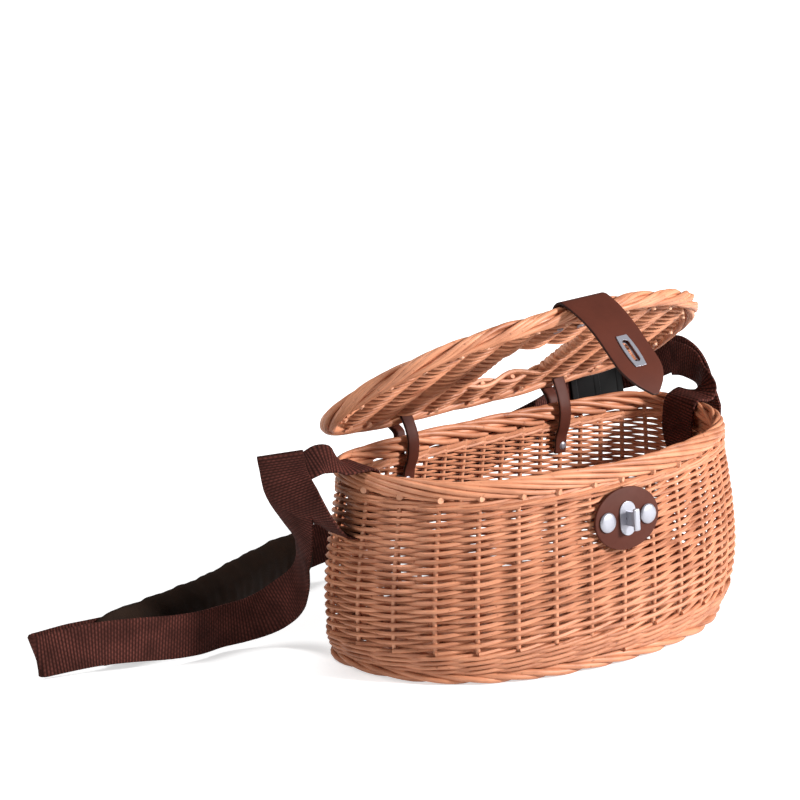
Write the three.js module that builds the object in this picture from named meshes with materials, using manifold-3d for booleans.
import * as THREE from 'three';
import { mergeVertices } from 'three/addons/utils/BufferGeometryUtils.js';
import Module from 'manifold-3d';

// Wicker fishing creel with an open lid, leather closure and webbing shoulder strap.
// Millimetres, +Z up. The origin is under the middle of the base, +X runs along the basket
// and -Y is the front, where the clasp sits.

// Basket plan, measured to the centre line of the woven wall
const RIM_HALF_LENGTH = 185.5;
const RIM_FRONT = 103.4;
const RIM_BACK = 72.4;
const BASE_END_SPREAD = 0.9;
const BASE_HALF_LENGTH = RIM_HALF_LENGTH + BASE_END_SPREAD;
const BASE_FRONT = 109.3;
const BASE_BACK = 67.7;
const SQUARE_END_SHARE = 0.0653;
const BELLY = 11.5;
const BELLY_SKEW_SHARE = 0.63;
const FRONT_BELLY_SHARE = 0.5;

// Basket heights and wall
const FOOT_HEIGHT = 11;
const FOOT_HALF_WIDTH = 6;
const BASE_THICKNESS = 8;
const WALL_TOP = 152;
const WALL_THICKNESS = 8;
const WALE_HEIGHT = 4.7;
const WALE_HALF_WIDTH = 4;
const RIM_HEIGHT = 17.4;
const RIM_HALF_WIDTH = 6.5;
const SEAM = 0.3;
const CORNER_SHARE = 0.45;
const RING_POINTS = 64;
const WALL_LEVELS = 8;
const LEVEL_POWER_SHARE = 1.5;

// Upright stakes and base sticks
const STAKE_COUNT = 28;
const STAKE_DIAMETER = 4;
const STAKE_SETBACK = 0.7;
const STAKE_SPANS = 4;
const BASE_STICK_COUNT = 9;
const BASE_STICK_SPACING = 34;
const BASE_STICK_DIAMETER = 4.4;
const LONG_STICK_COUNT = 3;
const LONG_STICK_SPACING = 24;
const ROD_SIDES = 6;

// Lid
const LID_SEAT = 3.2;
const LID_BORDER_HEIGHT = 16.6;
const LID_BORDER_HALF_WIDTH = 7;
const LID_PANEL_THICKNESS = 7;
const SLOT_HALF_LENGTH = 45;
const SLOT_FRONT = 42;
const SLOT_BACK = 34;
const SLOT_STICK_DIAMETER = 7;
const BINDING_WALL = 1.2;
const BINDING_COUNT = 3;
const BINDING_LENGTH = 15;
const BINDING_GAP = 5;
const BINDING_SIDES = 8;
const LID_AXIS_BACK = 84;
const LID_AXIS_HEIGHT = 171;
const LID_SKEW_DEGREES = 3;
const LID_OPEN_DEGREES = 36.4;

// Leather hinge straps
const HINGE_LEFT = -91;
const HINGE_RIGHT = 85;
const HINGE_WIDTH = 12;
const HINGE_LEATHER = 2.4;
const HINGE_RIVET_HEIGHT = 137;
const HINGE_RIVET_HEAD = 8;
const HINGE_SHANK = 3;
const HINGE_HEAD_HEIGHT = 1.6;
const HINGE_END_LENGTH = 8;
const HINGE_NOTCH = 6.8;
const HINGE_NOTCH_WIDTH = 16;
const HINGE_PLAY = 0.4;
const HINGE_ARC_STEPS = 8;

// Leather closure tongue, in the closed lid's own place
const TONGUE_WIDTH = 45;
const TONGUE_ROOT_WIDTH = 49;
const TONGUE_TIP_WIDTH = 5;
const TONGUE_LEATHER = 2.5;
const TONGUE_TAB_LENGTH = 30;
const TONGUE_FOLD_DEGREES = 56;
const TONGUE_LEAD = 4;
const TONGUE_UPPER_LENGTH = 36;
const TONGUE_LOWER_LENGTH = 67.5;
const TONGUE_PLATE_PLACE = 24.5;
const TONGUE_FLAT_LENGTH = 34;
const TONGUE_CURL = 0.47;
const TONGUE_JOINT_GAP = 0.9;
const TONGUE_TAPER_LENGTH = 34;
const TONGUE_RIVET_SPACING = 26;
const TONGUE_RIVET_PLACE = 24;
const TONGUE_RIVET_HEAD = 9;
const TONGUE_RIVET_RISE = 1.6;
const TONGUE_SHANK = 3;
const FLAP_SPANS = 5;
const END_SPANS = 12;
const TAPER_POWER_SHARE = 2.2;

// Turn lock
const CLASP_DROP = 24.7;
const CLASP_HEIGHT = WALL_TOP - CLASP_DROP;
const PATCH_WIDTH = 70;
const PATCH_HEIGHT = 53;
const PATCH_LEATHER = 2.5;
const LOCK_PLATE_WIDTH = 17;
const LOCK_PLATE_HEIGHT = 29;
const LOCK_PLATE_THICKNESS = 1;
const LOCK_HOLE = 4.6;
const POST_DIAMETER = 4;
const POST_LENGTH = 8.6;
const POST_PLAY = 0.1;
const KNOB_WIDTH = 6;
const KNOB_HEIGHT = 19;
const KNOB_THICKNESS = 3.5;
const CAP_DIAMETER = 17;
const CAP_HEIGHT = 3;
const CAP_SPACING = 44.6;
const CAP_SHANK = 4;
const CAP_CURVE_SHARE = 0.5;
const WASHER_DIAMETER = 13;
const WASHER_THICKNESS = 1.2;
const SLOT_PLATE_WIDTH = 14.4;
const SLOT_PLATE_LENGTH = 32;
const SLOT_PLATE_THICKNESS = 0.8;
const SLOT_PLATE_END_SHARE = 0.78;
const EYELET_WIDTH = 7.6;
const EYELET_LENGTH = 23;

// Webbing strap, pad and adjuster
const WEB_WIDTH = 38;
const WEB_THICKNESS = 2;
const WEB_PINCH = 27;
const SLIT_WIDTH = 31;
const SLIT_HEIGHT = 5;
const SLIT_LEVEL = 118;
const SLIT_BACK = 16.5;
const PAD_HEIGHT = 52;
const PAD_THICKNESS = 16;
const PAD_SPANS = 22;
const PAD_SIDES = 12;
const PAD_END_SHARE = 0.09;
const PAD_TIP_SHARE = 0.4;
const PAD_ROUNDNESS_SHARE = 0.75;
const BUCKLE_LENGTH = 59.4;
const BUCKLE_WIDTH = 46;
const BUCKLE_THICKNESS = 9;
const BUCKLE_BAR = 7;
const BUCKLE_TILT_DEGREES = 11;

const UP = new THREE.Vector3(0, 0, 1);
const SIDES = ['left', 'right'];

const wasm = await Module();
wasm.setup();

// Materials

function finish(color, roughness, metalness = 0) {
  return new THREE.MeshStandardMaterial({ color, roughness, metalness });
}

const willow = finish('#c98a5b', 0.62);
const willowPale = finish('#d79c6d', 0.6);
const willowDark = finish('#a9663c', 0.66);
const leather = finish('#5f3527', 0.5);
const nickel = finish('#b9bcc4', 0.28, 1);
const webbing = finish('#3a211c', 0.85);
const padCloth = finish('#241a12', 0.95);
const blackPlastic = finish('#0c0c0d', 0.35);

// Plan outline of the basket and lid

function plan(halfLength, front, back) {
  const along = halfLength / (1 - SQUARE_END_SHARE);
  return {
    along,
    corner: along * SQUARE_END_SHARE,
    depth: (front + back) / 2,
    shift: (back - front) / 2,
  };
}

function planPoint(shape, t, offset = 0) {
  const x = shape.along * Math.sin(t) + shape.corner * Math.sin(3 * t);
  const y = -shape.depth * Math.cos(t) + shape.shift * Math.cos(2 * t);
  const dx = shape.along * Math.cos(t) + 3 * shape.corner * Math.cos(3 * t);
  const dy = shape.depth * Math.sin(t) - 2 * shape.shift * Math.sin(2 * t);
  const length = Math.hypot(dx, dy);
  return new THREE.Vector2(x + (dy / length) * offset, y - (dx / length) * offset);
}

const rimPlan = plan(RIM_HALF_LENGTH, RIM_FRONT, RIM_BACK);
const basePlan = plan(BASE_HALF_LENGTH, BASE_FRONT, BASE_BACK);

function wallPlan(z) {
  const u = THREE.MathUtils.clamp((z - FOOT_HEIGHT) / (rimCentre() - FOOT_HEIGHT), 0, 1);
  const bulge = BELLY * Math.sin(Math.PI * u ** BELLY_SKEW_SHARE);
  const mix = (a, b) => a + (b - a) * u;
  return plan(
    mix(BASE_HALF_LENGTH, RIM_HALF_LENGTH) + bulge,
    mix(BASE_FRONT, RIM_FRONT) + bulge * FRONT_BELLY_SHARE,
    mix(BASE_BACK, RIM_BACK) + bulge,
  );
}

function rimBottom() {
  return WALL_TOP + SEAM + WALE_HEIGHT + SEAM;
}

function rimCentre() {
  return rimBottom() + RIM_HEIGHT / 2;
}

function rimTop() {
  return rimBottom() + RIM_HEIGHT;
}

// Plan angles at even steps along the outline, from the front centre round to the right
function evenAngles(shape, count, phase = 0) {
  const steps = 1440;
  const lengths = [0];
  for (let i = 1; i <= steps; i += 1) {
    const a = planPoint(shape, ((i - 1) / steps) * 2 * Math.PI);
    const b = planPoint(shape, (i / steps) * 2 * Math.PI);
    lengths.push(lengths[i - 1] + a.distanceTo(b));
  }
  const angles = [];
  let i = 0;
  for (let k = 0; k < count; k += 1) {
    const goal = ((k + phase) / count) * lengths[steps];
    while (lengths[i + 1] < goal) i += 1;
    const part = (goal - lengths[i]) / (lengths[i + 1] - lengths[i]);
    angles.push(((i + part) / steps) * 2 * Math.PI);
  }
  return angles;
}

const ringAngles = evenAngles(rimPlan, RING_POINTS);

// Point on the wall's centre line at a height, moved out by an offset
function wallPoint(t, z, offset) {
  const p = planPoint(wallPlan(z), t, offset);
  return new THREE.Vector3(p.x, p.y, z);
}

// The plan angle of the wall at one end, at a distance behind the middle
function endAngle(side, back, z) {
  const shape = wallPlan(z);
  let low = Math.PI / 4;
  let high = (3 * Math.PI) / 4;
  for (let i = 0; i < 40; i += 1) {
    const middle = (low + high) / 2;
    if (planPoint(shape, middle).y < back) low = middle;
    else high = middle;
  }
  return side * low;
}

// Geometry helpers

function closedBody(positions, index) {
  const geometry = new THREE.BufferGeometry();
  geometry.setAttribute('position', new THREE.Float32BufferAttribute(positions, 3));
  geometry.setIndex(index);
  return geometry;
}

// Joins rings of equal point counts into a skin. Rings wrap round, and so may the skin.
function skin(rings, wrap) {
  const count = rings[0].length;
  const positions = rings.flat().flatMap((p) => [p.x, p.y, p.z]);
  const index = [];
  const spans = wrap ? rings.length : rings.length - 1;
  for (let i = 0; i < spans; i += 1) {
    const next = (i + 1) % rings.length;
    for (let j = 0; j < count; j += 1) {
      const k = (j + 1) % count;
      const [a, b, c, d] = [i * count + j, i * count + k, next * count + k, next * count + j];
      index.push(a, b, c, a, c, d);
    }
  }
  if (!wrap) {
    const last = (rings.length - 1) * count;
    for (let j = 1; j < count - 1; j += 1) {
      index.push(0, j + 1, j);
      index.push(last, last + j, last + j + 1);
    }
  }
  return closedBody(positions, index);
}

// A ring round the basket with a closed profile of [offset, height] points, anticlockwise with
// the offset to the right
function ringSolid(profile, planOf, angles = ringAngles) {
  const rings = angles.map((t) => profile.map(([offset, z]) => {
    const p = planPoint(planOf(z), t, offset);
    return new THREE.Vector3(p.x, p.y, z);
  }));
  return skin(rings.reverse(), true);
}

// An eight-sided rounded profile, anticlockwise with the offset to the right
function roundedProfile(halfWidth, bottom, top, flatBottom = false) {
  const middle = (top - bottom) / 2;
  const side = halfWidth * CORNER_SHARE;
  const rise = middle * CORNER_SHARE;
  const foot = flatBottom ? halfWidth : side;
  const low = flatBottom ? [] : [[halfWidth, bottom + middle - rise]];
  const lowBack = flatBottom ? [] : [[-halfWidth, bottom + middle - rise]];
  return [
    [-foot, bottom], [foot, bottom], ...low,
    [halfWidth, top - middle + rise], [side, top], [-side, top],
    [-halfWidth, top - middle + rise], ...lowBack,
  ];
}

// A flat plate with the outline of a plan, kept inside a window of [left, right, front, back]
function plateShape(shape, offset, window = []) {
  const points = ringAngles.map((t) => planPoint(shape, t, offset));
  const edges = [['x', 1], ['x', -1], ['y', 1], ['y', -1]];
  const kept = edges.reduce((polygon, [key, side], i) => clip(polygon, key, window[i], side), points);
  return new THREE.Shape(kept);
}

// Keeps the part of a polygon where side * (place - edge) is positive
function clip(points, key, edge, side) {
  if (edge === undefined || !Number.isFinite(edge)) return points;
  const inside = (p) => side * (p[key] - edge) >= 0;
  const kept = [];
  points.forEach((p, i) => {
    const q = points[(i + 1) % points.length];
    if (inside(p)) kept.push(p);
    if (inside(p) !== inside(q)) kept.push(p.clone().lerp(q, (edge - p[key]) / (q[key] - p[key])));
  });
  return kept;
}

// Front and back of a plan at a place along X
function chord(shape, offset, x) {
  const points = ringAngles.map((t) => planPoint(shape, t, offset));
  const ends = points.flatMap((p, i) => {
    const q = points[(i + 1) % points.length];
    if ((p.x < x) === (q.x < x)) return [];
    return [p.y + ((q.y - p.y) * (x - p.x)) / (q.x - p.x)];
  });
  return [Math.min(...ends), Math.max(...ends)];
}

function prism(shape, depth, z = 0, curveSegments = 8) {
  const geometry = new THREE.ExtrudeGeometry(shape, { depth, bevelEnabled: false, curveSegments });
  return geometry.translate(0, 0, z);
}

// A round rod through points
function rod(points, diameter, sides = ROD_SIDES, steps = points.length * 2) {
  const section = new THREE.Shape();
  section.absarc(0, 0, diameter / 2, 0, 2 * Math.PI);
  const path = new THREE.CatmullRomCurve3(points);
  return new THREE.ExtrudeGeometry(section, {
    extrudePath: path, steps, curveSegments: sides / 2, bevelEnabled: false,
  });
}

// A turned piece about Z from [radius, height] points that start and end on the axis
function turned(profile, segments = 20) {
  return new THREE.LatheGeometry(profile.map(([r, h]) => new THREE.Vector2(r, h)), segments)
    .rotateX(Math.PI / 2);
}

// A flat strip along a route. Each row of the route is [x, y, z, across x, across y, across z]
// with an optional width, and the strip's width runs along the across direction.
function strip(route, width, thickness, steps) {
  const spine = new THREE.CatmullRomCurve3(route.map((r) => new THREE.Vector3(r[0], r[1], r[2])));
  const lean = new THREE.CatmullRomCurve3(route.map((r) => new THREE.Vector3(r[3], r[4], r[5])));
  const spans = route.length - 1;
  const rings = [];
  for (let i = 0; i <= steps; i += 1) {
    const u = i / steps;
    const centre = spine.getPoint(u);
    const along = spine.getTangent(u);
    const across = lean.getPoint(u);
    across.addScaledVector(along, -across.dot(along)).normalize();
    const face = along.clone().cross(across);
    const k = Math.min(Math.floor(u * spans), spans - 1);
    const [w0, w1] = [route[k][6] ?? width, route[k + 1][6] ?? width];
    const half = (w0 + (w1 - w0) * (u * spans - k)) / 2;
    const corners = [[-1, -1], [1, -1], [1, 1], [-1, 1]];
    rings.push(corners.map(([a, b]) => centre.clone()
      .addScaledVector(across, a * half)
      .addScaledVector(face, (b * thickness) / 2)));
  }
  return skin(rings, false);
}

function solidOf(geometry, matrix) {
  const clean = geometry.clone();
  clean.deleteAttribute('normal');
  clean.deleteAttribute('uv');
  if (matrix) clean.applyMatrix4(matrix);
  const merged = mergeVertices(clean);
  return new wasm.Manifold(new wasm.Mesh({
    numProp: 3,
    vertProperties: new Float32Array(merged.attributes.position.array),
    triVerts: new Uint32Array(merged.index.array),
  }));
}

function geometryOf(solid) {
  const mesh = solid.getMesh();
  return closedBody(Array.from(mesh.vertProperties), Array.from(mesh.triVerts));
}

function cut(geometry, tools) {
  const solid = tools.reduce((body, tool) => body.subtract(solidOf(tool)), solidOf(geometry));
  return geometryOf(solid);
}

function join(geometries) {
  return geometryOf(geometries.slice(1).reduce((body, g) => body.add(solidOf(g)), solidOf(geometries[0])));
}

function piece(name, geometry, material) {
  const mesh = new THREE.Mesh(geometry, material);
  mesh.name = name;
  return mesh;
}

function box(x, y, z) {
  return new THREE.BoxGeometry(x, y, z);
}

// A frame that stands on the wall's outer face: X along the wall, Y up its slope, Z outwards
function wallFrame(t, z) {
  const half = WALL_THICKNESS / 2;
  const at = wallPoint(t, z, half);
  const up = wallPoint(t, z + half, half).sub(wallPoint(t, z - half, half)).normalize();
  const along = up.clone().cross(wallPoint(t, z, WALL_THICKNESS).sub(at)).normalize();
  const out = along.clone().cross(up);
  return new THREE.Matrix4().makeBasis(along, up, out).setPosition(at);
}

// Basket

function basePanel() {
  const shape = plateShape(basePlan, -(FOOT_HALF_WIDTH + SEAM));
  return piece('base_panel', prism(shape, BASE_THICKNESS), willow);
}

// Short sticks across the base, held by long ones that run through them
function baseSticks() {
  const radius = BASE_STICK_DIAMETER / 2;
  const z = BASE_THICKNESS + SEAM + radius;
  const edge = -(WALL_THICKNESS / 2 + STAKE_SETBACK + STAKE_DIAMETER + BASE_STICK_DIAMETER);
  const sticks = [];
  for (let i = 0; i < BASE_STICK_COUNT; i += 1) {
    const x = (i - (BASE_STICK_COUNT - 1) / 2) * BASE_STICK_SPACING;
    const [front, back] = chord(basePlan, edge, x);
    const ends = [new THREE.Vector3(x, front, z), new THREE.Vector3(x, back, z)];
    sticks.push(rod(ends, BASE_STICK_DIAMETER, ROD_SIDES, 1));
  }
  const [low, high] = chord(basePlan, 0, 0);
  const reach = (BASE_STICK_SPACING * BASE_STICK_COUNT) / 2;
  for (let i = 0; i < LONG_STICK_COUNT; i += 1) {
    const y = (low + high) / 2 + (i - (LONG_STICK_COUNT - 1) / 2) * LONG_STICK_SPACING;
    const ends = [new THREE.Vector3(-reach, y, z), new THREE.Vector3(reach, y, z)];
    sticks.push(rod(ends, BASE_STICK_DIAMETER, ROD_SIDES, 1));
  }
  return piece('base_sticks', join(sticks), willowPale);
}

function footRing() {
  const profile = roundedProfile(FOOT_HALF_WIDTH, 0, FOOT_HEIGHT, true);
  return piece('foot_ring', ringSolid(profile, () => basePlan), willowDark);
}

// Heights from a bottom to a top, closer together low down, where the wall curves most
function wallHeights(bottom, top, spans) {
  const heights = [];
  for (let i = 0; i <= spans; i += 1) {
    heights.push(bottom + (top - bottom) * (i / spans) ** LEVEL_POWER_SHARE);
  }
  return heights;
}

function sideWall(cuts) {
  const half = WALL_THICKNESS / 2;
  const bottom = FOOT_HEIGHT + SEAM;
  const levels = wallHeights(bottom, WALL_TOP, WALL_LEVELS);
  const outer = levels.map((z) => [half, z]);
  const inner = levels.map((z) => [-half, z]).reverse();
  return piece('side_wall', cut(ringSolid([...outer, ...inner], wallPlan), cuts), willow);
}

// Upright stakes bound together by a wale inside the foot of the wall
function sideStakes() {
  const offset = -(WALL_THICKNESS / 2 + STAKE_SETBACK + STAKE_DIAMETER / 2);
  const bottom = FOOT_HEIGHT + SEAM * 2;
  const top = WALL_TOP - SEAM;
  const stakes = evenAngles(rimPlan, STAKE_COUNT).map((t) => {
    const points = wallHeights(bottom, top, STAKE_SPANS).map((z) => wallPoint(t, z, offset));
    return rod(points, STAKE_DIAMETER, ROD_SIDES, STAKE_SPANS);
  });
  const hoop = [
    [offset - STAKE_DIAMETER / 2, bottom], [offset + STAKE_DIAMETER / 2, bottom],
    [offset + STAKE_DIAMETER / 2, bottom + WALE_HEIGHT], [offset - STAKE_DIAMETER / 2, bottom + WALE_HEIGHT],
  ];
  return piece('side_stakes', join([ringSolid(hoop, wallPlan), ...stakes]), willowPale);
}

function topWale() {
  const bottom = WALL_TOP + SEAM;
  const top = bottom + WALE_HEIGHT;
  const half = WALE_HALF_WIDTH;
  const profile = [[-half, bottom], [half, bottom], [half, top], [-half, top]];
  return piece('top_wale', ringSolid(profile, wallPlan), willowDark);
}

function rimBorder() {
  const profile = roundedProfile(RIM_HALF_WIDTH, rimBottom(), rimTop());
  return piece('rim_border', ringSolid(profile, () => rimPlan), willow);
}

// Slits for the webbing, one in each end wall

function slitCut(side) {
  const t = endAngle(side, SLIT_BACK, SLIT_LEVEL);
  const matrix = wallFrame(t, SLIT_LEVEL);
  return box(SLIT_WIDTH, SLIT_HEIGHT, WALL_THICKNESS * 3).applyMatrix4(matrix);
}

// A round hole through the wall in a wall frame, at a place along the wall
function wallHole(matrix, x, diameter) {
  return turned([
    [0, -WALL_THICKNESS * 2], [diameter / 2, -WALL_THICKNESS * 2],
    [diameter / 2, WALL_THICKNESS], [0, WALL_THICKNESS],
  ]).translate(x, 0, 0).applyMatrix4(matrix);
}

// Leather hinge straps, each held by one rivet that goes through both ends and the wall

function hingeAngle(x) {
  const shape = wallPlan(HINGE_RIVET_HEIGHT);
  let low = Math.PI / 2;
  let high = (3 * Math.PI) / 2;
  for (let i = 0; i < 40; i += 1) {
    const middle = (low + high) / 2;
    if (planPoint(shape, middle).x > x) low = middle;
    else high = middle;
  }
  return low;
}

// Angle of the tangent point on a circle as seen from a point outside it
function tangentAngle(from, centre, radius, side) {
  const toFrom = Math.atan2(from[1] - centre[1], from[0] - centre[0]);
  const distance = Math.hypot(from[0] - centre[0], from[1] - centre[1]);
  return toFrom + side * Math.acos(radius / distance);
}

// The strap's middle line as [offset from the rim's line, height], inside end first
function hingeRoute(t) {
  const half = HINGE_LEATHER / 2;
  const rim = planPoint(rimPlan, t);
  const normal = planPoint(rimPlan, t, 1).sub(rim);
  const away = (z, offset) => {
    const p = planPoint(wallPlan(z), t, offset);
    return p.sub(rim).dot(normal);
  };
  const wallOffset = WALL_THICKNESS / 2 + SEAM + half;
  const lows = [HINGE_RIVET_HEIGHT - HINGE_END_LENGTH, HINGE_RIVET_HEIGHT, HINGE_RIVET_HEIGHT + HINGE_END_LENGTH];
  const rimOffset = RIM_HALF_WIDTH + HINGE_PLAY * 3 + half;
  const highs = [rimBottom() - SEAM, rimTop()];
  const borderBack = planPoint(rimPlan, t);
  const centre3 = new THREE.Vector3(borderBack.x, borderBack.y, lidCentre()).applyMatrix4(lidMatrix());
  const centre = [new THREE.Vector2(centre3.x, centre3.y).sub(rim).dot(normal), centre3.z];
  const radius = borderReach() + HINGE_PLAY * 2 + half;
  const start = tangentAngle([-rimOffset, highs[1]], centre, radius, -1);
  const end = tangentAngle([rimOffset, highs[1]], centre, radius, 1);
  const sweep = start - end + 2 * Math.PI;
  const turn = sweep > 2 * Math.PI ? sweep - 2 * Math.PI : sweep;
  const arc = [];
  for (let i = 0; i <= HINGE_ARC_STEPS; i += 1) {
    const angle = start - (turn * i) / HINGE_ARC_STEPS;
    arc.push([centre[0] + radius * Math.cos(angle), centre[1] + radius * Math.sin(angle)]);
  }
  const inside = [...lows.map((z) => [away(z, -wallOffset), z]), ...highs.map((z) => [-rimOffset, z])];
  const outside = [...highs.map((z) => [rimOffset, z]).reverse(),
    ...lows.map((z) => [away(z, wallOffset), z]).reverse()];
  return [...inside, ...arc, ...outside];
}

function hingeStrap(name, x) {
  const t = hingeAngle(x);
  const rim = planPoint(rimPlan, t);
  const normal = planPoint(rimPlan, t, 1).sub(rim);
  const route = hingeRoute(t).map(([offset, z]) => (
    [rim.x + normal.x * offset, rim.y + normal.y * offset, z, -normal.y, normal.x, 0]));
  const body = strip(route, HINGE_WIDTH, HINGE_LEATHER, route.length * 2);
  const hole = wallHole(wallFrame(t, HINGE_RIVET_HEIGHT), 0, HINGE_SHANK + SEAM * 2);
  return piece(name, cut(body, [hole]), leather);
}

const hingeFrames = () => [HINGE_LEFT, HINGE_RIGHT].map((x) => (
  wallFrame(hingeAngle(x), HINGE_RIVET_HEIGHT)));

// Domed head inside the basket, shank through both strap ends and the wall
function hingeRivets() {
  const head = HINGE_RIVET_HEAD / 2;
  const shank = HINGE_SHANK / 2;
  const inner = -(WALL_THICKNESS + SEAM * 2 + HINGE_LEATHER + HINGE_PLAY);
  const outer = SEAM * 2 + HINGE_LEATHER + HINGE_PLAY + WASHER_THICKNESS + SEAM;
  const rivet = turned([
    [0, inner - HINGE_HEAD_HEIGHT], [head / 2, inner - HINGE_HEAD_HEIGHT],
    [head, inner], [shank, inner], [shank, outer], [0, outer],
  ]);
  return hingeFrames().map((m, i) => (
    piece(`hinge_rivet_${SIDES[i]}`, rivet.clone().applyMatrix4(m), nickel)));
}

function ringWasher(outerRadius, innerRadius, bottom, thickness) {
  return turned([
    [innerRadius, bottom], [outerRadius, bottom],
    [outerRadius, bottom + thickness], [innerRadius, bottom + thickness], [innerRadius, bottom],
  ]);
}

function hingeWashers() {
  const bottom = SEAM * 2 + HINGE_LEATHER + HINGE_PLAY;
  const washer = ringWasher(HINGE_RIVET_HEAD / 2, HINGE_SHANK / 2 + SEAM / 2, bottom, WASHER_THICKNESS);
  return hingeFrames().map((m, i) => (
    piece(`hinge_washer_${SIDES[i]}`, washer.clone().applyMatrix4(m), nickel)));
}

// Turn lock on its leather patch, in the frame of the front wall

const claspMatrix = () => wallFrame(0, CLASP_HEIGHT);

function claspPatch() {
  const shape = new THREE.Shape();
  shape.absellipse(0, 0, PATCH_WIDTH / 2, PATCH_HEIGHT / 2, 0, 2 * Math.PI);
  shape.holes.push(circlePath(0, 0, LOCK_HOLE / 2));
  const capHole = CAP_SHANK / 2 + SEAM;
  shape.holes.push(circlePath(CAP_SPACING / 2, 0, capHole), circlePath(-CAP_SPACING / 2, 0, capHole));
  return piece('clasp_patch', prism(shape, PATCH_LEATHER, SEAM, 20), leather);
}

function circlePath(x, y, radius) {
  const path = new THREE.Path();
  path.absarc(x, y, radius, 0, 2 * Math.PI, true);
  return path;
}

function stadium(width, height) {
  const radius = width / 2;
  const straight = (height - width) / 2;
  const shape = new THREE.Shape();
  shape.absarc(0, straight, radius, 0, Math.PI);
  shape.absarc(0, -straight, radius, Math.PI, 2 * Math.PI);
  return shape;
}

const patchTop = () => SEAM + PATCH_LEATHER;

function lockPlate() {
  const shape = stadium(LOCK_PLATE_WIDTH, LOCK_PLATE_HEIGHT);
  shape.holes.push(circlePath(0, 0, POST_DIAMETER / 2 + POST_PLAY));
  return piece('lock_plate', prism(shape, LOCK_PLATE_THICKNESS, patchTop() + SEAM), nickel);
}

function turnKnob() {
  const foot = patchTop() + SEAM;
  const neck = new THREE.Shape();
  neck.absarc(0, 0, POST_DIAMETER / 2, 0, 2 * Math.PI);
  const bar = stadium(KNOB_WIDTH, KNOB_HEIGHT);
  const top = foot + LOCK_PLATE_THICKNESS + POST_LENGTH;
  return piece('turn_knob', join([
    prism(neck, top + KNOB_THICKNESS / 2 - foot, foot),
    prism(bar, KNOB_THICKNESS, top),
  ]), nickel);
}

function capDepth() {
  const reach = CAP_SPACING / 2 + WASHER_DIAMETER / 2;
  const outline = planPoint(wallPlan(CLASP_HEIGHT), 0).distanceTo(planPoint(rimPlan, 0));
  return WALL_THICKNESS + (reach / PATCH_WIDTH) * outline * CAP_CURVE_SHARE + SEAM;
}

// Domed caps on the patch, their shanks through the wall to washers inside
function claspCaps() {
  const radius = CAP_DIAMETER / 2;
  const base = patchTop() + SEAM;
  const shank = CAP_SHANK / 2;
  const tip = -(capDepth() + SEAM * 2 + WASHER_THICKNESS);
  const domeShares = [[0.97, 0.35], [0.78, 0.75], [0.42, 0.95]];
  const dome = domeShares.map(([r, h]) => [radius * r, base + CAP_HEIGHT * h]);
  const cap = turned([[0, tip], [shank, tip], [shank, base], [radius, base], ...dome, [0, base + CAP_HEIGHT]]);
  return pair('clasp_cap', cap, CAP_SPACING);
}

function claspWashers() {
  const bottom = -(capDepth() + WASHER_THICKNESS);
  const washer = ringWasher(WASHER_DIAMETER / 2, CAP_SHANK / 2 + SEAM / 2, bottom, WASHER_THICKNESS);
  return pair('clasp_washer', washer, CAP_SPACING);
}

// Two metal pieces alike, a spacing apart along X
function pair(name, geometry, spacing) {
  return SIDES.map((side, i) => (
    piece(`${name}_${side}`, geometry.clone().translate((i - 1 / 2) * spacing, 0, 0), nickel)));
}

// Lid, modelled closed and turned open about its skew axis

function lidCentre() {
  return rimTop() + LID_SEAT + LID_BORDER_HEIGHT / 2;
}

function lidMatrix() {
  const skew = THREE.MathUtils.degToRad(LID_SKEW_DEGREES);
  const axis = new THREE.Vector3(Math.cos(skew), Math.sin(skew), 0);
  const open = THREE.MathUtils.degToRad(-LID_OPEN_DEGREES);
  const turn = new THREE.Matrix4().makeRotationAxis(axis, open);
  const there = new THREE.Matrix4().makeTranslation(0, LID_AXIS_BACK, LID_AXIS_HEIGHT);
  const back = new THREE.Matrix4().makeTranslation(0, -LID_AXIS_BACK, -LID_AXIS_HEIGHT);
  return there.multiply(turn).multiply(back);
}

// Distance from the lid border's centre line to the corners of its rounded profile
function borderReach() {
  return Math.hypot(LID_BORDER_HALF_WIDTH * CORNER_SHARE, LID_BORDER_HEIGHT / 2);
}

function lidBorder() {
  const bottom = rimTop() + LID_SEAT;
  const profile = roundedProfile(LID_BORDER_HALF_WIDTH, bottom, bottom + LID_BORDER_HEIGHT);
  return piece('lid_border', ringSolid(profile, () => rimPlan), willow);
}

function stickOuter() {
  return SLOT_HALF_LENGTH + BINDING_WALL + SEAM + SLOT_STICK_DIAMETER;
}

function lidWeave(name, window, cuts, material) {
  const shape = plateShape(rimPlan, -(LID_BORDER_HALF_WIDTH + SEAM), window);
  const panel = prism(shape, LID_PANEL_THICKNESS, lidCentre() - LID_PANEL_THICKNESS / 2);
  return piece(name, cuts.length ? cut(panel, cuts) : panel, material);
}

// Notch in the rear edge of the lid's weave for a hinge strap
function hingeNotch(x) {
  const t = hingeAngle(x);
  const p = planPoint(rimPlan, t, -(LID_BORDER_HALF_WIDTH + HINGE_NOTCH / 2));
  const normal = planPoint(rimPlan, t, 1).sub(planPoint(rimPlan, t));
  return box(HINGE_NOTCH_WIDTH, HINGE_NOTCH, LID_PANEL_THICKNESS * 2)
    .rotateZ(Math.atan2(-normal.x, normal.y))
    .translate(p.x, p.y, lidCentre());
}

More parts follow.
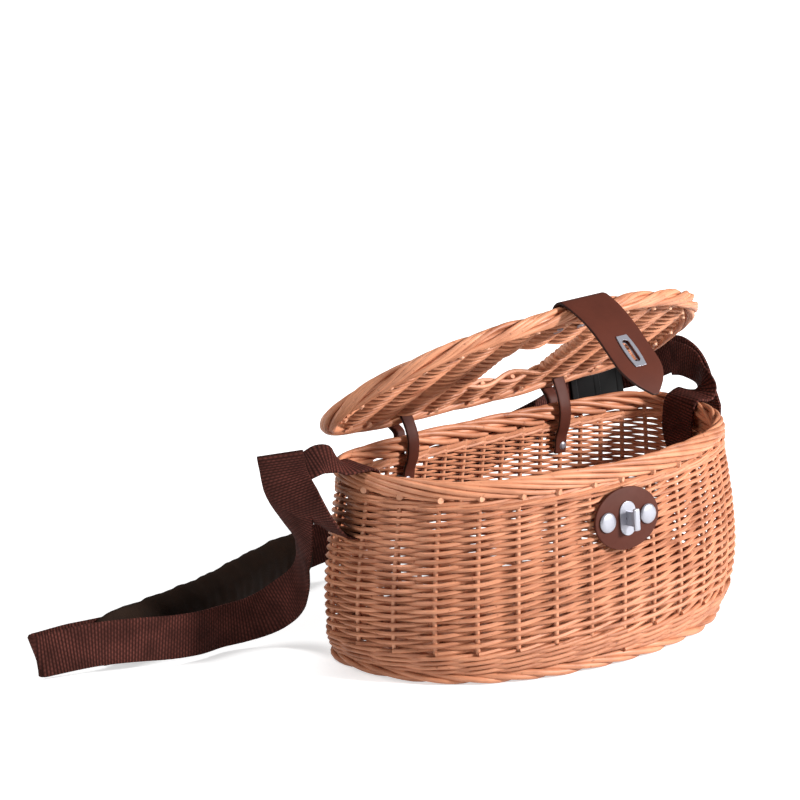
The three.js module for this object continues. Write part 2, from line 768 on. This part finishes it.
function slotStick(name, side) {
  const x = side * (stickOuter() - SLOT_STICK_DIAMETER / 2);
  const [front, back] = chord(rimPlan, -(LID_BORDER_HALF_WIDTH + SEAM * 2 + HINGE_PLAY), x);
  const ends = [new THREE.Vector3(x, front, lidCentre()), new THREE.Vector3(x, back, lidCentre())];
  return piece(name, rod(ends, SLOT_STICK_DIAMETER, BINDING_SIDES, 1), willowDark);
}

// Willow skein wound round the right-hand stick in three places beside the slot
function skeinBindings() {
  const inner = SLOT_STICK_DIAMETER / 2 + SEAM;
  const sleeve = ringWasher(inner + BINDING_WALL, inner, 0, BINDING_LENGTH).rotateX(-Math.PI / 2);
  const x = stickOuter() - SLOT_STICK_DIAMETER / 2;
  const length = BINDING_COUNT * BINDING_LENGTH + (BINDING_COUNT - 1) * BINDING_GAP;
  const start = (SLOT_BACK - SLOT_FRONT - length) / 2;
  const sleeves = [];
  for (let i = 0; i < BINDING_COUNT; i += 1) {
    const y = start + i * (BINDING_LENGTH + BINDING_GAP);
    const geometry = sleeve.clone().translate(x, y, lidCentre());
    sleeves.push(piece(`skein_binding_${i + 1}`, geometry, willowPale));
  }
  return sleeves;
}

// Leather closure tongue

function foldRadius() {
  return borderReach() + SEAM * 2 + TONGUE_LEATHER / 2;
}

// Point over the front border at an angle from the top, towards the front
function foldPoint(degrees) {
  const angle = THREE.MathUtils.degToRad(degrees);
  const r = foldRadius();
  return [-RIM_FRONT - r * Math.sin(angle), lidCentre() + r * Math.cos(angle)];
}

// The tongue's middle line at a length from its first bend: [y, z, degrees below level]
function tonguePoint(length) {
  const [y0, z0] = foldPoint(TONGUE_FOLD_DEGREES);
  let angle = TONGUE_FOLD_DEGREES;
  let rad = THREE.MathUtils.degToRad(angle);
  let y = y0 - TONGUE_LEAD * Math.cos(rad);
  let z = z0 - TONGUE_LEAD * Math.sin(rad);
  const flatStart = TONGUE_UPPER_LENGTH + TONGUE_PLATE_PLACE - TONGUE_FLAT_LENGTH / 2;
  const flatEnd = flatStart + TONGUE_FLAT_LENGTH;
  const step = TONGUE_LEATHER / 10;
  for (let s = 0; s < length - step / 2; s += step) {
    if (s < flatStart || s > flatEnd) angle += TONGUE_CURL * step;
    rad = THREE.MathUtils.degToRad(angle);
    y -= step * Math.cos(rad);
    z -= step * Math.sin(rad);
  }
  return [y, z, angle];
}

function tongueRoute(from, to, spans, widthAt) {
  const rows = [];
  for (let i = 0; i <= spans; i += 1) {
    const s = from + ((to - from) * i) / spans;
    const [y, z] = tonguePoint(s);
    rows.push([0, y, z, 1, 0, 0, widthAt(s)]);
  }
  return rows;
}

function tongueRivetY() {
  return -RIM_FRONT + TONGUE_RIVET_PLACE;
}

function tongueHole(side) {
  const reach = LID_BORDER_HEIGHT * 2;
  return turned([
    [0, -reach], [TONGUE_SHANK / 2 + SEAM, -reach], [TONGUE_SHANK / 2 + SEAM, reach], [0, reach],
  ]).translate((side * TONGUE_RIVET_SPACING) / 2, tongueRivetY(), lidCentre());
}

function tongueTabLevel() {
  return lidCentre() + LID_PANEL_THICKNESS / 2 + SEAM + TONGUE_LEATHER / 2;
}

function tongueTab() {
  const level = tongueTabLevel();
  const end = -RIM_FRONT + TONGUE_TAB_LENGTH;
  const half = TONGUE_LEATHER / 2;
  const flat = [end, (end + tongueRivetY()) / 2, tongueRivetY(), tongueRivetY() - TONGUE_RIVET_HEAD];
  const wrapDegrees = [-30, -8, 14, 36, TONGUE_FOLD_DEGREES];
  const [y1, z1] = tonguePoint(0);
  const along = THREE.MathUtils.degToRad(TONGUE_FOLD_DEGREES);
  const back = TONGUE_JOINT_GAP / 2;
  const last = [y1 + back * Math.cos(along), z1 + back * Math.sin(along)];
  const line = [...flat.map((y) => [y, level]), ...wrapDegrees.map(foldPoint), last];
  const route = line.map(([y, z]) => [0, y, z, 1, 0, 0, TONGUE_ROOT_WIDTH]);
  const body = strip(route, TONGUE_ROOT_WIDTH, half * 2, route.length * 2);
  return piece('tongue_tab', cut(body, [tongueHole(-1), tongueHole(1)]), leather);
}

function tongueFlap() {
  const gap = TONGUE_JOINT_GAP / 2;
  const taper = TONGUE_ROOT_WIDTH - TONGUE_WIDTH;
  const route = tongueRoute(gap, TONGUE_UPPER_LENGTH - gap, FLAP_SPANS, (s) => (
    TONGUE_ROOT_WIDTH - (taper * s) / TONGUE_UPPER_LENGTH));
  return piece('tongue_flap', strip(route, TONGUE_WIDTH, TONGUE_LEATHER, FLAP_SPANS * 2), leather);
}

// Frame at the middle of the slot plate: X across, Y down the tongue, Z into the basket
function plateMatrix() {
  const [y, z, degrees] = tonguePoint(TONGUE_UPPER_LENGTH + TONGUE_PLATE_PLACE);
  const angle = THREE.MathUtils.degToRad(degrees);
  const down = new THREE.Vector3(0, -Math.cos(angle), -Math.sin(angle));
  const across = new THREE.Vector3(1, 0, 0);
  return new THREE.Matrix4().makeBasis(across, down, across.clone().cross(down)).setPosition(0, y, z);
}

function tongueEnd() {
  const start = TONGUE_UPPER_LENGTH + TONGUE_JOINT_GAP / 2;
  const end = TONGUE_UPPER_LENGTH + TONGUE_LOWER_LENGTH;
  const widthAt = (s) => {
    const share = Math.max(0, (s - (end - TONGUE_TAPER_LENGTH)) / TONGUE_TAPER_LENGTH);
    return TONGUE_TIP_WIDTH + (TONGUE_WIDTH - TONGUE_TIP_WIDTH) * (1 - share ** TAPER_POWER_SHARE);
  };
  const route = tongueRoute(start, end, END_SPANS, widthAt);
  const body = strip(route, TONGUE_WIDTH, TONGUE_LEATHER, END_SPANS * 2);
  const slot = prism(stadium(EYELET_WIDTH, EYELET_LENGTH), TONGUE_LEATHER * 4, -TONGUE_LEATHER * 2);
  return piece('tongue_end', cut(body, [slot.applyMatrix4(plateMatrix())]), leather);
}

// Barrel-sided plate with a slot that the knob goes through
function slotPlate(name, z) {
  const halfLength = SLOT_PLATE_LENGTH / 2;
  const halfEnd = (SLOT_PLATE_WIDTH * SLOT_PLATE_END_SHARE) / 2;
  const halfWidth = SLOT_PLATE_WIDTH / 2;
  const shape = new THREE.Shape();
  shape.moveTo(-halfEnd, -halfLength);
  shape.lineTo(halfEnd, -halfLength);
  shape.quadraticCurveTo(2 * halfWidth - halfEnd, 0, halfEnd, halfLength);
  shape.lineTo(-halfEnd, halfLength);
  shape.quadraticCurveTo(halfEnd - 2 * halfWidth, 0, -halfEnd, -halfLength);
  shape.holes.push(new THREE.Path(stadium(EYELET_WIDTH, EYELET_LENGTH).getPoints(6)));
  const geometry = prism(shape, SLOT_PLATE_THICKNESS, z).applyMatrix4(plateMatrix());
  return piece(name, geometry, nickel);
}

// Rivets through the tab and the lid, domed on top, with washers under the lid
function tongueRivets() {
  const top = tongueTabLevel() + TONGUE_LEATHER / 2 + SEAM;
  const shank = TONGUE_SHANK / 2;
  const head = TONGUE_RIVET_HEAD / 2;
  const tip = lidCentre() - LID_PANEL_THICKNESS / 2 - SEAM * 2 - WASHER_THICKNESS;
  const rivet = turned([
    [0, tip], [shank, tip], [shank, top], [head, top], [head / 2, top + TONGUE_RIVET_RISE],
    [0, top + TONGUE_RIVET_RISE],
  ]).translate(0, tongueRivetY(), 0);
  return pair('tongue_rivet', rivet, TONGUE_RIVET_SPACING);
}

function tongueWashers() {
  const bottom = lidCentre() - LID_PANEL_THICKNESS / 2 - SEAM - WASHER_THICKNESS;
  const washer = ringWasher(TONGUE_RIVET_HEAD / 2, TONGUE_SHANK / 2 + SEAM / 2, bottom, WASHER_THICKNESS)
    .translate(0, tongueRivetY(), 0);
  return pair('tongue_washer', washer, TONGUE_RIVET_SPACING);
}

// Webbing strap. The rows are [x, y, z, across x, across y, across z, width].

const LEFT_LOOP = [
  [-255, 22.5, 185.9, 0.785, -0.62, 0.16, WEB_WIDTH],
  [-252.3, 23.7, 179.3, 0.785, -0.62, 0.16, WEB_WIDTH],
  [-248.4, 24.4, 171.9, 0.74, -0.65, 0.2, WEB_WIDTH],
  [-238.9, 24, 157.6, 0.6, -0.75, 0.25, WEB_WIDTH],
  [-226.4, 21.6, 143, 0.3, -0.93, 0.2, 36],
  [-211, 17, 128, 0, -1, 0, 32],
  [-202, 16.5, 120.5, 0, -1, 0, WEB_PINCH],
  [-191, 16.5, 118, 0, -1, 0, WEB_PINCH],
  [-182, 16.5, 119.5, 0, -1, 0, WEB_PINCH],
  [-177, 16.5, 127, 0, -1, 0, 28],
  [-175, 16.5, 140, 0, -1, 0, WEB_WIDTH],
  [-173.2, 16.4, 156, 0, -1, 0, WEB_WIDTH],
  [-173.2, 16.4, 168, 0, -1, 0, WEB_WIDTH],
  [-175.6, 16.6, 174.2, 0, -1, 0, WEB_WIDTH],
  [-181.3, 17, 176.4, 0, -1, 0, WEB_WIDTH],
  [-188, 17.5, 176.3, 0, -1, 0, WEB_WIDTH],
  [-195.5, 18, 177.8, 0, -1, 0, WEB_WIDTH],
  [-202, 18.5, 184, 0, -1, 0, WEB_WIDTH],
  [-207, 19, 192, -0.1, -1, 0, WEB_WIDTH],
  [-213.5, 20, 198, -0.15, -1, 0, WEB_WIDTH],
  [-223, 22, 200, -0.15, -1, 0, 36],
  [-234, 25, 199, -0.1, -1, 0.1, 30],
  [-239.5, 27, 198, 0, -1, 0.1, 22],
];

const MAIN_RUN = [
  [-255.6, 22.15, 187.3, 0.785, -0.62, 0.16],
  [-257.7, 20.7, 192, 0.785, -0.62, 0.16],
  [-259, 19.9, 195.7, 0.785, -0.62, 0.16],
  [-259.1, 20.4, 198.3, 0.785, -0.62, 0.16],
  [-257.5, 22.1, 196.7, 0.785, -0.62, 0.16],
  [-255.8, 23.6, 193.1, 0.785, -0.62, 0.16],
  [-252.9, 26, 186.5, 0.785, -0.62, 0.18],
  [-243, 34, 162, 0.72, -0.62, 0.3],
  [-223, 48, 125, 0.6, -0.55, 0.55],
  [-208, 60, 95, 0.55, -0.45, 0.7],
  [-200, 70, 73, 0.45, -0.3, 0.85],
  [-197, 82, 56, 0.3, -0.1, 0.95],
  [-201, 94, 43, 0.1, -0.05, 1],
  [-211, 105, 32, 0, -0.1, 1],
  [-227, 113, 26, 0, -0.1, 1],
  [-250, 117, 24, 0, -0.05, 1],
  [-275, 114, 24, 0, 0, 1],
  [-301, 116, 25, 0, 0, 1],
  [-326, 121, 27, 0, 0, 1],
  [-349, 127.5, 28, 0, 0, 1],
  [-371, 133.5, 28, 0, 0, 1],
  [-390, 140, 26, 0, 0, 1],
  [-404, 146, 23.5, 0, 0, 1],
  [-412, 149.5, 22.5, 0, 0.05, 1],
  [-414.2, 152.5, 22.5, 0, 0.05, 1],
  [-410.5, 154.4, 22.8, 0, 0, 1],
  [-398, 153.5, 24, 0, 0, 1],
  [-384, 150.5, 25.5, 0, 0, 1],
  [-371.3, 147.3, 26.4, 0, 0, 1],
];

const PAD_ROUTE = [
  [-370, 147, 26.4],
  [-345, 146, 26.4],
  [-300, 153, 26.4],
  [-226, 172, 26.4],
  [-159, 204, 26.4],
  [-104, 226, 26.4],
  [-74, 224, 26.4],
];

const REAR_RUN = [
  [-73, 223.9, 26.4, 0, 0, 1],
  [-62, 222.3, 27, 0, 0.05, 1],
  [-51, 217, 30, 0, 0.1, 1],
  [-43, 207, 36, 0, 0.2, 1],
  [-37, 193, 46, 0, 0.3, 1],
  [-31, 176, 60, -0.1, 0.4, 1],
  [-24, 158, 77, -0.1, 0.45, 1],
  [-14, 138, 96, -0.15, 0.4, 1],
  [0, 119, 115, -0.2, 0.3, 1],
  [18, 106, 131, -0.15, 0.15, 1],
  [42, 99.5, 142, -0.05, 0.05, 1],
  [68, 98, 149, 0, 0, 1],
  [93, 101, 154.5, 0, 0, 1],
  [117, 109.5, 160, 0, 0, 1],
  [134.3, 116.4, 164.5, 0, 0, 1],
];

const RIGHT_LOOP = [
  [196.5, 118.4, 176.6, 0, 0, 1, WEB_WIDTH],
  [207, 113, 180, 0, 0.2, 1, WEB_WIDTH],
  [215.5, 101, 186, 0, 0.35, 1, WEB_WIDTH],
  [218, 86, 192.5, 0, 0.38, 0.93, 36],
  [217.5, 71, 198, 0, 0.33, 0.94, 33],
  [216.5, 58, 201.6, 0, 0.2, 1, 31],
  [216, 47, 202.4, 0, -0.07, 1, 29],
  [216, 37, 199.4, 0, -0.4, 0.92, 28],
  [216, 28.5, 193.2, 0, -0.69, 0.72, 28],
  [216, 23.2, 185, 0, -0.9, 0.43, 30],
  [216, 20.4, 175.5, 0, -1, 0.15, 34],
  [215, 19, 163, 0, -1, 0.1, WEB_WIDTH],
  [211.5, 17.5, 147, 0, -1, 0, 34],
  [206.5, 16.7, 132, 0, -1, 0, 30],
  [201, 16.5, 121.5, 0, -1, 0, WEB_PINCH],
  [191, 16.5, 118, 0, -1, 0, WEB_PINCH],
  [182, 16.5, 119.5, 0, -1, 0, WEB_PINCH],
  [177, 16.3, 127, 0, -1, 0, 28],
  [175, 15.5, 140, 0, -1, 0, WEB_WIDTH],
  [173.6, 14, 156, 0, -1, 0, WEB_WIDTH],
  [173.6, 12.5, 168, 0, -1, 0, WEB_WIDTH],
  [176.2, 12, 174.2, 0, -1, 0, WEB_WIDTH],
  [181.3, 12, 176.4, 0, -1, 0, WEB_WIDTH],
  [188, 12.5, 176.4, 0, -1, 0, WEB_WIDTH],
  [195, 13.3, 176.8, 0, -1, 0, WEB_WIDTH],
  [202.5, 15.5, 180, 0, -1, 0.1, 35],
  [208, 20, 186, 0, -0.93, 0.36, 30],
  [210, 25.6, 192, 0, -0.78, 0.62, 28],
  [210.5, 33, 197.6, 0, -0.52, 0.85, 28],
  [210.8, 42, 200.8, 0, -0.2, 0.98, 28],
  [211, 53, 201.4, 0, 0.1, 1, 30],
  [211.5, 65, 199.2, 0, 0.28, 0.95, 32],
];

function web(name, route, steps) {
  return piece(name, strip(route, WEB_WIDTH, WEB_THICKNESS, steps), webbing);
}

// Padded sleeve standing on edge: full in the middle of its height, drawn in at its rounded ends
function shoulderPad() {
  const spine = new THREE.CatmullRomCurve3(PAD_ROUTE.map((p) => new THREE.Vector3(...p)));
  const rings = [];
  for (let i = 0; i <= PAD_SPANS; i += 1) {
    const u = i / PAD_SPANS;
    const centre = spine.getPointAt(u);
    const along = spine.getTangentAt(u);
    const side = along.clone().cross(UP).normalize();
    const nearEnd = Math.min(u, 1 - u) / PAD_END_SHARE;
    const swell = nearEnd < 1 ? Math.sqrt(1 - (1 - nearEnd) ** 2) : 1;
    const high = (PAD_HEIGHT / 2) * (PAD_TIP_SHARE + (1 - PAD_TIP_SHARE) * swell);
    const wide = (PAD_THICKNESS / 2) * (PAD_TIP_SHARE + (1 - PAD_TIP_SHARE) * swell);
    const ring = [];
    for (let j = 0; j < PAD_SIDES; j += 1) {
      const angle = (j / PAD_SIDES) * 2 * Math.PI;
      const [c, s] = [Math.cos(angle), Math.sin(angle)];
      ring.push(centre.clone()
        .addScaledVector(side, wide * Math.sign(c) * Math.abs(c) ** PAD_ROUNDNESS_SHARE)
        .addScaledVector(UP, high * Math.sign(s) * Math.abs(s) ** PAD_ROUNDNESS_SHARE));
    }
    rings.push(ring);
  }
  return piece('shoulder_pad', skin(rings.reverse(), false), padCloth);
}

// Three-bar buckle between the rear run and the right-hand loop
function strapBuckle() {
  const openLength = (BUCKLE_LENGTH - 3 * BUCKLE_BAR) / 2;
  const place = (openLength + BUCKLE_BAR) / 2;
  const opening = box(openLength, BUCKLE_THICKNESS * 2, BUCKLE_WIDTH - BUCKLE_BAR);
  const openings = [-place, place].map((x) => opening.clone().translate(x, 0, 0));
  const [x0, y0, z0] = REAR_RUN[REAR_RUN.length - 1];
  const [x1, y1, z1] = RIGHT_LOOP[0];
  const geometry = cut(box(BUCKLE_LENGTH, BUCKLE_THICKNESS, BUCKLE_WIDTH), openings)
    .rotateY(-THREE.MathUtils.degToRad(BUCKLE_TILT_DEGREES))
    .translate((x0 + x1) / 2, (y0 + y1) / 2, (z0 + z1) / 2);
  return piece('strap_buckle', geometry, blackPlastic);
}

function clasp() {
  const group = new THREE.Group();
  group.applyMatrix4(claspMatrix());
  return group.add(claspPatch(), lockPlate(), turnKnob(), ...claspCaps(), ...claspWashers());
}

function lid() {
  const inner = stickOuter() - SLOT_STICK_DIAMETER - BINDING_WALL - SEAM;
  const outer = stickOuter() + BINDING_WALL + SEAM * 2;
  const none = undefined;
  const group = new THREE.Group();
  group.applyMatrix4(lidMatrix());
  return group.add(
    lidBorder(),
    lidWeave('lid_weave_left', [none, -outer], [hingeNotch(HINGE_LEFT)], willow),
    lidWeave('lid_weave_right', [outer], [hingeNotch(HINGE_RIGHT)], willow),
    lidWeave('lid_weave_front', [-inner, inner, none, -SLOT_FRONT], [tongueHole(-1), tongueHole(1)], willow),
    lidWeave('lid_weave_rear', [-inner, inner, SLOT_BACK], [], willow),
    slotStick('slot_stick_left', -1),
    slotStick('slot_stick_right', 1),
    ...skeinBindings(),
    tongueTab(),
    ...tongueRivets(),
    ...tongueWashers(),
    tongueFlap(),
    tongueEnd(),
    slotPlate('slot_plate_front', -(TONGUE_LEATHER / 2 + SEAM + SLOT_PLATE_THICKNESS)),
    slotPlate('slot_plate_back', TONGUE_LEATHER / 2 + SEAM),
  );
}

function strap() {
  return new THREE.Group().add(
    web('strap_left_loop', LEFT_LOOP, LEFT_LOOP.length * 2),
    web('strap_main_run', MAIN_RUN, MAIN_RUN.length * 2),
    shoulderPad(),
    web('strap_rear_run', REAR_RUN, REAR_RUN.length * 3),
    strapBuckle(),
    web('strap_right_loop', RIGHT_LOOP, RIGHT_LOOP.length * 2),
  );
}

const wallCuts = [
  slitCut(-1), slitCut(1),
  ...[-1, 1].map((side) => wallHole(claspMatrix(), (side * CAP_SPACING) / 2, CAP_SHANK + SEAM * 2)),
  ...hingeFrames().map((matrix) => wallHole(matrix, 0, HINGE_SHANK + SEAM * 2)),
];

const creel = new THREE.Group();
creel.add(
  basePanel(), baseSticks(), footRing(), sideWall(wallCuts), sideStakes(), topWale(), rimBorder(),
  hingeStrap('hinge_strap_left', HINGE_LEFT), hingeStrap('hinge_strap_right', HINGE_RIGHT),
  ...hingeRivets(), ...hingeWashers(), clasp(), lid(), strap(),
);

export default creel;
